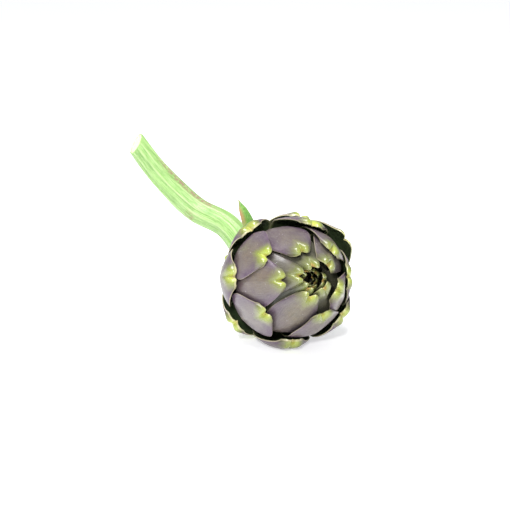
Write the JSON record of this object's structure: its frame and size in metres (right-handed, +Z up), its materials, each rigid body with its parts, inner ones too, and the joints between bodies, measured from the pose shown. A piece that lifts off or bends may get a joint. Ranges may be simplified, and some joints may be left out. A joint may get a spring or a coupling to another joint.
{
  "type": "artichoke",
  "caption": "Violet globe artichoke lying on its side: an egg-shaped head of overlapping notched leaves, a curved ribbed green stem with a slanting cut and a small stem leaf.",
  "frame": {"origin": "middle of the flat spot that the head rests on", "axes": "+Z up; the nose of the head points along -Y, 19 degrees up; the stem runs back along +Y, then towards -X and up"},
  "size_m": [0.0971, 0.1719, 0.1071],
  "materials": {
    "bract_skin": "satin",
    "bud_skin": "satin",
    "stem_skin": "satin",
    "leaf_skin": "satin"
  },
  "bodies": {
    "root": {"bract_01": "bract_skin", "bract_02": "bract_skin", "bract_03": "bract_skin", "bract_04": "bract_skin", "bract_05": "bract_skin", "bract_06": "bract_skin", "bract_07": "bract_skin", "bract_08": "bract_skin", "bract_09": "bract_skin", "bract_10": "bract_skin", "bract_11": "bract_skin", "bract_12": "bract_skin", "bract_13": "bract_skin", "bract_14": "bract_skin", "bract_15": "bract_skin", "bract_16": "bract_skin", "bract_17": "bract_skin", "bract_18": "bract_skin", "bract_19": "bract_skin", "bract_20": "bract_skin", "bract_21": "bract_skin", "bract_22": "bract_skin", "bract_23": "bract_skin", "bract_24": "bract_skin", "bract_25": "bract_skin", "bract_26": "bract_skin", "bract_27": "bract_skin", "bract_28": "bract_skin", "bract_29": "bract_skin", "bract_30": "bract_skin", "bract_31": "bract_skin", "bract_32": "bract_skin", "bract_33": "bract_skin", "bract_34": "bract_skin", "bract_35": "bract_skin", "bract_36": "bract_skin", "bract_37": "bract_skin", "bract_38": "bract_skin", "bract_39": "bract_skin", "bract_40": "bract_skin", "bract_41": "bract_skin", "bract_42": "bract_skin", "bract_43": "bract_skin", "inner_bud": "bud_skin", "heart_and_stem": "stem_skin", "stem_leaf": "leaf_skin"}
  },
  "joints": []
}
